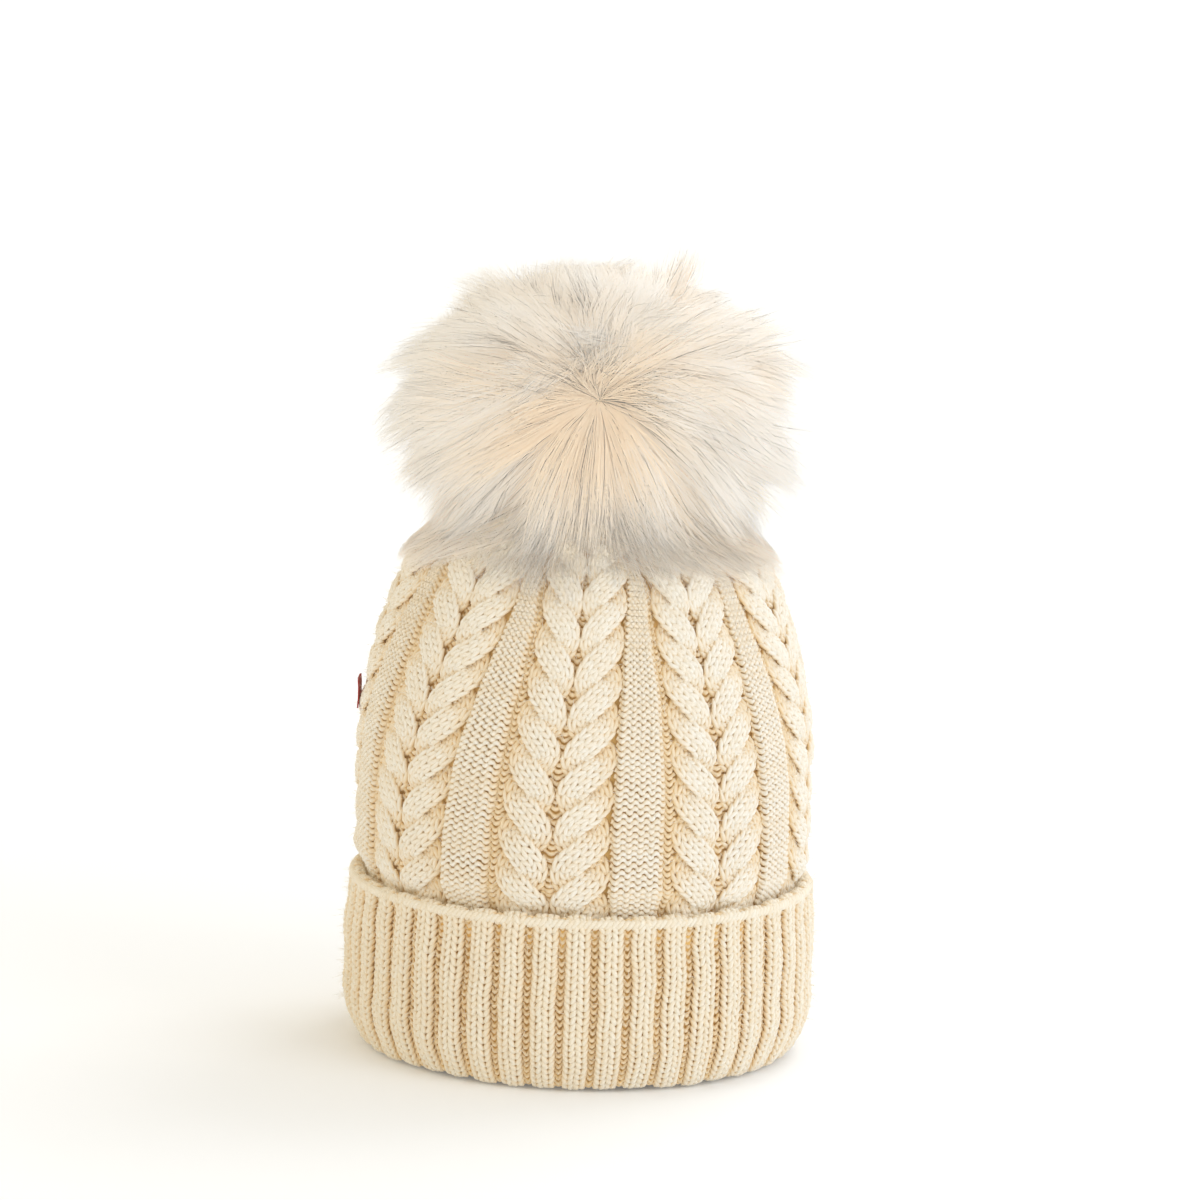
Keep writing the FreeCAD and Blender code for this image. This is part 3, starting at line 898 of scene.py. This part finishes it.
def build_lining():
    """Four fleece gores whose edges roll in at their seams."""
    across = np.linspace(-1, 1, 64)
    alongs = np.linspace(0, LINING_OUTLINE.length, 120)
    span = TURN / GORES
    for number in range(GORES):
        azimuths = (number + 0.5) * span + math.pi / 2 + across * (span / 2 - GORE_GAP)
        angle, along = np.meshgrid(azimuths, alongs)
        points, _ = LINING_OUTLINE.place(angle, along, -0.3 + 0 * angle)
        tufts = lattice_noise(points + 200, 2.2, 31 + number) - 0.5
        folds = lattice_noise(points + 200, 26.0, 41 + number) - 0.5
        seam = smooth(np.abs(across)[None], 0.93, 1.0)
        proud = np.minimum(-0.45 + 0.25 * tufts + 0.5 * folds * (1 - seam) + 0.25 * seam, -0.02)
        vertices, faces = shell(LINING_OUTLINE, azimuths, alongs, proud, FLEECE_THICKNESS)
        piece = make_piece(f"lining_fleece_{number + 1}", vertices, faces, MATERIALS["fleece"])
        finish_piece(piece, "fleece", "hat", f"lining_gore_{number + 1}")


def build_seam_stitches():
    """Zigzag stitches of thread down the lining's seams."""
    gather = Gather()
    rows = np.arange(2, 140, SEAM_STITCH)
    step = np.linspace(-1, 1, 5)[None]
    side = np.where(np.arange(len(rows)) % 2, 1, -1)[:, None]
    along = rows[:, None] + step * SEAM_STITCH / 2
    for number in range(GORES):
        azimuth = number * TURN / GORES + math.pi / 2 + step * SEAM_REACH * side
        proud = -1.5 - 0.12 * (1 - step ** 2) + 0 * along
        points, outward = LINING_OUTLINE.place(azimuth, along, proud)
        vertices, faces, _ = tubes(points, outward, SEAM_THREAD + 0 * along)
        gather.add(vertices, faces)
    piece = gather.piece("lining_seam_stitches", MATERIALS["thread"])
    finish_piece(piece, "thread", "hat", "lining_seam_threads")


def build_hem_stitches():
    """Slanted stitches of thread round the lining's hem."""
    step = np.linspace(-1, 1, 5)[None]
    azimuth = (np.arange(HEM_STITCHES)[:, None] + step * 0.55) * TURN / HEM_STITCHES
    radius = HEM_RADIUS + 0.5 * step + 0 * azimuth
    height = HEM_LEVEL - 0.25 * (1 - step ** 2) + 0 * azimuth
    points = np.stack([radius * np.sin(azimuth), -radius * np.cos(azimuth), height], -1)
    outward = np.zeros_like(points)
    outward[..., 2] = -1
    vertices, faces, _ = tubes(points, outward, HEM_THREAD + 0 * azimuth)
    piece = make_piece("lining_hem_stitches", vertices, faces, MATERIALS["thread"])
    finish_piece(piece, "thread", "hat", "lining_hem_thread")


def build_back_seam():
    """Whip stitches up the inside of the back, where the knitted panel is joined."""
    rows = np.arange(2, 120, 3.2)
    step = np.linspace(-1, 1, 6)[None]
    reach = 1.2
    azimuth = math.pi + step * reach / 76.6 + 0 * rows[:, None]
    along = rows[:, None] + step * reach
    points, outward = SEAM_OUTLINE.place(azimuth, along, 0 * along)
    vertices, faces, _ = tubes(points, outward, SEAM_YARN * (1.2 - 0.4 * np.abs(step)) + 0 * along)
    # A little painted shade over the whole seam yarn.
    marks = {"recess": np.full(len(vertices), 0.4), "tone": np.full(len(vertices), 0.3)}
    piece = make_piece("back_seam_stitches", vertices, faces, MATERIALS["yarn"], marks)
    finish_piece(piece, "yarn", "hat", "back_seam_yarn")


def sheet_piece(name, layers, rows, columns, material):
    """A thin closed sheet from the points of its two faces."""
    return make_piece(name, np.concatenate(layers), sheet_faces(rows, columns), material)


def build_side_tab():
    """A blank tab laid on the knit of the wearer's right side."""
    half_width, half_height, thickness = 7.8, 5.0, 0.45
    columns = np.linspace(-half_width, half_width, 33)
    rows = np.linspace(-half_height, half_height, 25)
    across, up = np.meshgrid(columns, rows)
    curl = 0.35 * smooth(np.abs(up) / half_height, 0.4, 1.0) + 0.12 * np.sin(across * 1.1)
    azimuth = -math.pi / 2 + across / 82.0
    layers = []
    for inset in (0.0, thickness):
        radius = 81.35 + curl * 0.6 - inset
        layer = np.stack([radius * np.sin(azimuth), -radius * np.cos(azimuth), TAB_LEVEL + up], -1)
        layers.append(layer.reshape(-1, 3))
    tab = sheet_piece("side_tab", layers, *up.shape, MATERIALS["side_label"])
    finish_piece(tab, "side_label", "hat", "side_label")


def build_care_tag():
    """A blank care tag that hangs inside the back."""
    half_width, length, thickness = 7.0, 26.0, 0.3
    across, drop = np.meshgrid(np.linspace(-half_width, half_width, 29), np.linspace(0, length, 53))
    wave = np.sin(across * 0.5 + drop * 0.2) ** 2
    away = 74.05 - 0.9 * smooth(drop, 3, length) - 0.25 * wave
    layers = []
    for inset in (0.0, thickness):
        layers.append(np.stack([across, away - inset, TAG_LEVEL - drop], -1).reshape(-1, 3))
    tag = sheet_piece("care_tag", layers, *drop.shape, MATERIALS["care_label"])
    finish_piece(tag, "care_label", "hat", "care_label")


# ---------------------------------------------------------------- pom

BALL_MIDDLE = 234.5
BALL_ACROSS = 38.5
BALL_UP = 28.5
BALL_MOUTH = 207.8
PILE_MIDDLE = 231.0
PILE_ACROSS = 74.0
PILE_UP = 55.0
PILE_DOWN = 63.0
SKIRT_LEVEL = 176.0
WHORL = np.array([0.02, -0.985, -0.02])
PILE_DROOP = 8.0
HAIR_WAVE = 1.1
# A hair is a ribbon with this many vertices across it.
HAIR_EDGES = 2
# Above this the crown is flat, and hairs are left where they are.
CROWN_FLAT = 192.0


def pile_point(direction, reach):
    """The point at a share of the way from the backing (0) to the ends of the pile (1)."""
    reach = np.asarray(reach, float)[..., None]
    up = np.where(direction[..., 2:] > 0, PILE_UP, PILE_DOWN)
    size = np.concatenate([
        BALL_ACROSS + (PILE_ACROSS - BALL_ACROSS) * reach,
        BALL_ACROSS + (PILE_ACROSS - BALL_ACROSS) * reach,
        BALL_UP + (up - BALL_UP) * reach,
    ], -1)
    middle = np.concatenate([
        0 * reach, 0 * reach, BALL_MIDDLE + (PILE_MIDDLE - BALL_MIDDLE) * reach,
    ], -1)
    return direction * size + middle


def hair_paths(roots, leans, lengths, points):
    """Hairs that rise from the backing and lie over in the direction of the lean."""
    heading = unit(roots + leans)
    start = pile_point(roots, 0 * lengths)
    bend = pile_point(unit(roots + leans * 0.35), lengths * 0.62)
    end = pile_point(heading, lengths)
    end[:, 2] -= PILE_DROOP * lengths ** 2
    low = SKIRT_LEVEL + 20 * (1 - lengths)
    end[:, 2] = np.where(end[:, 2] < low, low + 0.12 * (end[:, 2] - low), end[:, 2])
    t = np.linspace(0, 1, points)[None, :, None]
    return (1 - t) ** 2 * start[:, None] + 2 * t * (1 - t) * bend[:, None] + t * t * end[:, None]


def outside_crown(points, clearance):
    """Moves points that are inside the crown out to its face, so that the pile drapes over it."""
    heights, radii = CROWN_OUTLINE.points[:, 1], CROWN_OUTLINE.points[:, 0]
    wall = np.interp(points[..., 2], heights, radii, right=0.0) + clearance
    radius = np.hypot(points[..., 0], points[..., 1])
    push = np.maximum(wall / np.maximum(radius, 1.0), 1.0)
    push = np.where(points[..., 2] < CROWN_FLAT, push, 1.0)
    return points * np.stack([push, push, np.ones_like(push)], -1)


def flow(directions):
    """The way the pile is brushed: away from the whorl, fading towards the far side, and down."""
    facing = directions @ unit(WHORL)
    away = unit(directions * facing[:, None] - unit(WHORL))
    strength = 0.8 - 0.5 * smooth(-facing, 0.1, 0.9)
    down = np.array([0, 0, -0.22])
    return away * strength[:, None] + down


def random_directions(random, count, lowest=-0.86):
    """Directions spread evenly over the ball above a height, as unit vectors."""
    height = random.uniform(lowest, 1, count)
    angle = random.uniform(0, TURN, count)
    ring = np.sqrt(1 - height ** 2)
    return np.stack([ring * np.cos(angle), ring * np.sin(angle), height], -1)


def nearest(points, centres):
    """Index of the nearest centre to each point."""
    found = np.empty(len(points), int)
    for start in range(0, len(points), 8000):
        part = points[start:start + 8000]
        found[start:start + 8000] = np.argmax(part @ centres.T, axis=1)
    return found


LOCKS = 900
lock_random = np.random.default_rng(7)
lock_roots = random_directions(lock_random, LOCKS)
lock_turns = lock_random.normal(0, 0.27, (LOCKS, 3))
lock_bends = lock_random.normal(0, 4.0, (LOCKS, 3))
lock_lengths = lock_random.uniform(0.84, 1.06, LOCKS)
lock_grips = lock_random.uniform(0.45, 0.9, LOCKS)
lock_shades = lock_random.random(LOCKS)


def hair_piece(name, seed, count, length, thick, points, grip):
    """One batch of hairs, drawn together into locks towards their ends."""
    random = np.random.default_rng(seed)
    roots = random_directions(random, count)
    lock = nearest(roots, lock_roots)
    leans = flow(roots) + lock_turns[lock] + random.normal(0, 0.10, (count, 3))
    lengths = lock_lengths[lock] * random.uniform(*length, count)
    paths = hair_paths(roots, leans, lengths, points)
    guides = hair_paths(
        lock_roots[lock], flow(lock_roots)[lock] + lock_turns[lock], lengths, points
    )
    t = np.linspace(0, 1, points)[None, :, None]
    pull = (lock_grips[lock] * random.uniform(0.5, 1.0, count) * grip)[:, None, None] * t ** 1.6
    paths = paths * (1 - pull) + guides * pull
    sway = random.normal(0, 1, (count, 3))[:, None]
    wave = sway * np.sin(t * random.uniform(3, 8, count)[:, None, None])
    paths = paths + wave * HAIR_WAVE * t + lock_bends[lock][:, None] * t ** 2
    paths = outside_crown(paths, random.uniform(0.5, 4.0, count)[:, None])
    outward = unit(paths - np.array([0, 0, PILE_MIDDLE]))
    way = unit(np.gradient(paths, axis=1))
    side = unit(np.cross(way, outward + random.normal(0, 0.6, (count, 3))[:, None]))
    taper = np.interp(np.linspace(0, 1, points), [0, 0.5, 1], [1.0, 0.9, 0.15])
    widths = thick * random.uniform(0.7, 1.2, count)[:, None] * taper[None]
    vertices, faces = ribbons(paths, side, widths)
    tan, brown = hair_colours(random, roots, lock, t[0, :, 0], count)
    marks = {
        "tan": np.repeat(tan.reshape(-1), HAIR_EDGES),
        "brown": np.repeat(brown.reshape(-1), HAIR_EDGES),
    }
    piece = make_piece(name, vertices, faces, MATERIALS["fur"], marks)
    outward_normals(piece, paths)
    finish_piece(piece, "fur", "pom", "pom_fur_pile")


def outward_normals(piece, points):
    """Turns the hairs' shading to face out of the pile, so that light spreads over it softly."""
    outward = unit(points - np.array([0, 0, PILE_MIDDLE]))
    along = unit(np.gradient(points, axis=1))
    across = unit(outward - along * np.sum(outward * along, axis=-1, keepdims=True))
    facing = np.repeat(unit(outward + across).reshape(-1, 3), HAIR_EDGES, axis=0)
    piece.data.normals_split_custom_set_from_vertices(facing)


def hair_colours(random, roots, lock, t, count):
    """Tan in patches round the whorl and at the low left, some brown; tan near the roots is partly painted
    shade, tan underneath is painted shade.
    """
    along = t[None]
    patches = smooth(lattice_noise(roots * 10 + 50, 5.5, 77), 0.52, 0.75)
    near = smooth(roots @ unit(WHORL), 0.45, 0.95)
    patch = (0.75 * patches * (0.25 + 0.75 * near))[:, None]
    low_left = (smooth(-roots[:, 0], 0.35, 0.9) * smooth(-roots[:, 2], 0.0, 0.5))[:, None]
    # Partly painted shade: the roots, seen only in the gaps, are tan, on top of their own slightly tan
    # colour.
    tan = 0.75 * (1 - along) ** 1.2 + patch * (1 - 0.35 * along)
    tan = tan + 0.9 * low_left * along ** 1.5
    # Painted shade: hair on the underside of the pom, where it lies in shadow, is tan.
    tan = tan + 0.45 * smooth(-roots[:, 2], 0.35, 0.85)[:, None]
    tan = tan + (0.12 * lock_shades[lock] + random.normal(0, 0.05, count))[:, None]
    few = (random.random(count) < 0.004)[:, None] * along
    tips = low_left * (random.random(count) < 0.35)[:, None] * smooth(along, 0.55, 1.0) * 0.6
    return np.clip(tan, 0, 1), np.clip(few + tips, 0, 1)


def build_core():
    """The stuffed backing under the fur, gathered at its mouth."""
    rows, columns, gathers = 60, 96, 16
    fall = np.linspace(0.02, math.pi * 0.86, rows)[:, None]
    turn = np.arange(columns)[None] * TURN / columns
    direction = np.stack([
        np.sin(fall) * np.cos(turn), np.sin(fall) * np.sin(turn), np.cos(fall) + 0 * turn,
    ], -1)
    lumps = 1 + 0.03 * (lattice_noise(direction * 20 + 100, 9.0, 55) - 0.5)
    across = BALL_ACROSS * lumps + 0.9 * np.cos(turn * gathers) * smooth(fall, 1.9, 2.7)
    size = np.stack([across, across, BALL_UP * lumps], -1)
    points = direction * size + np.array([0, 0, BALL_MIDDLE])
    points[..., 2] = np.maximum(points[..., 2], BALL_MOUTH)
    faces = [grid_faces(rows, columns, closed=True)[:, ::-1]]
    for row, order in ((0, 1), (rows - 1, -1)):
        for corner in range(1, columns - 2, 2):
            cap = np.array([0, corner, corner + 1, corner + 2]) + row * columns
            faces.append(cap[None, ::order])
    material = MATERIALS["backing"]
    core = make_piece("pom_core", points.reshape(-1, 3), np.concatenate(faces), material)
    finish_piece(core, "backing", "pom", "pom_backing", "pom_stuffing")


def twisted_ring(name, around, height, yarn, slot, body, node):
    """A cord of three plies closed into a ring."""
    gather = Gather()
    plies, twists, points = 3, 40, 241
    turn = np.linspace(0, TURN, points)
    for ply in range(plies):
        twist = turn * twists + ply * TURN / plies
        radius = around + yarn * 0.5 * np.cos(twist)
        level = height + yarn * 0.5 * np.sin(twist)
        path = np.stack([radius * np.sin(turn), -radius * np.cos(turn), level], -1)[None]
        outward = np.zeros_like(path)
        outward[..., 2] = 1
        vertices, faces, _ = tubes(path, outward, np.full((1, points), yarn * 0.5))
        count = len(vertices)
        gather.add(vertices, faces, recess=np.full(count, 0.2), tone=np.full(count, 0.4))
    piece = gather.piece(name, MATERIALS[slot])
    finish_piece(piece, slot, body, node)


def build_pom():
    """Core, fur in batches, underfur, stray hairs, and the cords that gather the pom and the crown."""
    build_core()
    for number in range(6):
        hair_piece(f"pom_fur_{number + 1}", 300 + number, 23000, (0.82, 1.08), 0.21, 5, 0.9)
    hair_piece("pom_underfur", 320, 31000, (0.45, 0.82), 0.30, 4, 0.4)
    hair_piece("pom_wisps", 330, 6000, (1.06, 1.28), 0.10, 6, 0.45)
    twisted_ring("pom_gathering_cord", 21.1, 206.2, 0.8, "thread", "pom", "pom_drawstring")
    twisted_ring("crown_gathering_yarn", 16.6, 186.9, 0.88, "yarn", "snap_seat", "crown_gather_yarn")


# ---------------------------------------------------------------- carried-over hardware

def dress_hardware():
    """Gives the CAD nodes that stay in view their finishes."""
    for node, slot in {
        "inner_felt_washer": "felt",
        "outer_felt_washer": "felt",
        "snap_post_cap": "snap_metal",
        "snap_stud": "snap_metal",
        "snap_socket": "snap_metal",
        "snap_socket_cap": "snap_metal",
        "snap_spring": "spring_steel",
        "pom_base_disc": "base_disc",
    }.items():
        for material_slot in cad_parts[node].material_slots:
            material_slot.material = MATERIALS[slot]


# ---------------------------------------------------------------- studio

FLOOR_LEVEL = -1.4
CAMERA_DISTANCE = 1.70
CAMERA_RISE = math.radians(9.4)
CAMERA_ROLL = math.radians(1.9)
CAMERA_LENS = 143.5
CAMERA_SHIFT = (0.0095, 0.031)
AIM = Vector((0, 0, 0.145))
LIGHTS_AIM = Vector((0, 0, 0.14))


def add_camera():
    data = bpy.data.cameras.new("camera")
    data.lens = CAMERA_LENS
    data.sensor_width = 36
    data.shift_x, data.shift_y = CAMERA_SHIFT
    camera = bpy.data.objects.new("camera", data)
    bpy.context.scene.collection.objects.link(camera)
    back = Vector((0, -math.cos(CAMERA_RISE), math.sin(CAMERA_RISE)))
    camera.location = AIM + back * CAMERA_DISTANCE
    look = (-back).to_track_quat("-Z", "Y")
    camera.rotation_mode = "QUATERNION"
    camera.rotation_quaternion = look @ Quaternion((0, 0, 1), CAMERA_ROLL)
    bpy.context.scene.camera = camera


def add_area_light(name, location, size, energy, colour):
    data = bpy.data.lights.new(name, "AREA")
    data.size = size
    data.energy = energy
    data.color = colour
    light = bpy.data.objects.new(name, data)
    light.location = location
    aim = LIGHTS_AIM - Vector(location)
    light.rotation_euler = aim.to_track_quat("-Z", "Y").to_euler()
    bpy.context.scene.collection.objects.link(light)


def add_floor():
    """A wide pale floor, a little rough, that gets brighter away from the hat."""
    reach, rings, spokes = 60000.0, 24, 64
    radius = np.concatenate([[1.0], np.geomspace(200, reach, rings - 1)])[:, None]
    turn = np.arange(spokes)[None] * TURN / spokes
    level = FLOOR_LEVEL + 0 * radius * turn
    points = np.stack([radius * np.cos(turn), radius * np.sin(turn), level], -1)
    shader = Shader("floor", 0.9, Specular_IOR_Level=0.1, Emission_Color=(1, 1, 1, 1))
    place = {0: shader.coordinates()}
    away = shader.node("ShaderNodeVectorMath", place, operation="LENGTH").outputs["Value"]
    # Painted glow: the floor emits light, weakly by the hat and more strongly far from it.
    glow = shader.spread(away, 0.12, 2.0, 0.10, 0.35)
    shader.tree.links.new(glow, shader.surface.inputs["Emission Strength"])
    cloud = shader.noise(3.0, 2)
    shader.colour(shader.blend(cloud, (0.90, 0.93, 0.975), (0.91, 0.94, 0.985)))
    faces = grid_faces(rings, spokes, closed=True)
    floor = make_piece("floor", points.reshape(-1, 3), faces, shader.material)


def add_studio():
    add_floor()
    add_area_light("key_light", (1.6, -1.2, 1.1), 1.3, 10, (1.0, 1.0, 1.0))
    add_area_light("top_light", (0.55, 0.6, 1.5), 0.7, 6, (1.0, 1.0, 1.0))
    add_area_light("warm_fill", (-1.5, -0.9, 0.35), 0.8, 2, (1.0, 0.80, 0.55))
    add_surroundings()
    bpy.context.scene.view_settings.view_transform = "Standard"
    add_camera()


def add_surroundings():
    """A pale room that is white on the right and warmer on the left."""
    world = bpy.data.worlds.new("studio")
    world.use_nodes = True
    tree = world.node_tree
    direction = tree.nodes.new("ShaderNodeTexCoord").outputs["Generated"]
    sideways = tree.nodes.new("ShaderNodeSeparateXYZ")
    tree.links.new(direction, sideways.inputs[0])
    share = tree.nodes.new("ShaderNodeMapRange")
    share.inputs["From Min"].default_value = -0.9
    share.inputs["From Max"].default_value = 0.5
    tree.links.new(sideways.outputs["X"], share.inputs["Value"])
    tint = tree.nodes.new("ShaderNodeMix")
    tint.data_type = "RGBA"
    tint.inputs[6].default_value = (0.92, 0.80, 0.56, 1)
    tint.inputs[7].default_value = (1.0, 1.0, 1.0, 1)
    tree.links.new(share.outputs["Result"], tint.inputs["Factor"])
    background = tree.nodes["Background"]
    tree.links.new(tint.outputs[2], background.inputs["Color"])
    background.inputs["Strength"].default_value = 0.84
    bpy.context.scene.world = world


# ---------------------------------------------------------------- the whole

build_crown()
build_cuff()
build_lining()
build_seam_stitches()
build_hem_stitches()
build_back_seam()
build_side_tab()
build_care_tag()
build_pom()
dress_hardware()
add_studio()
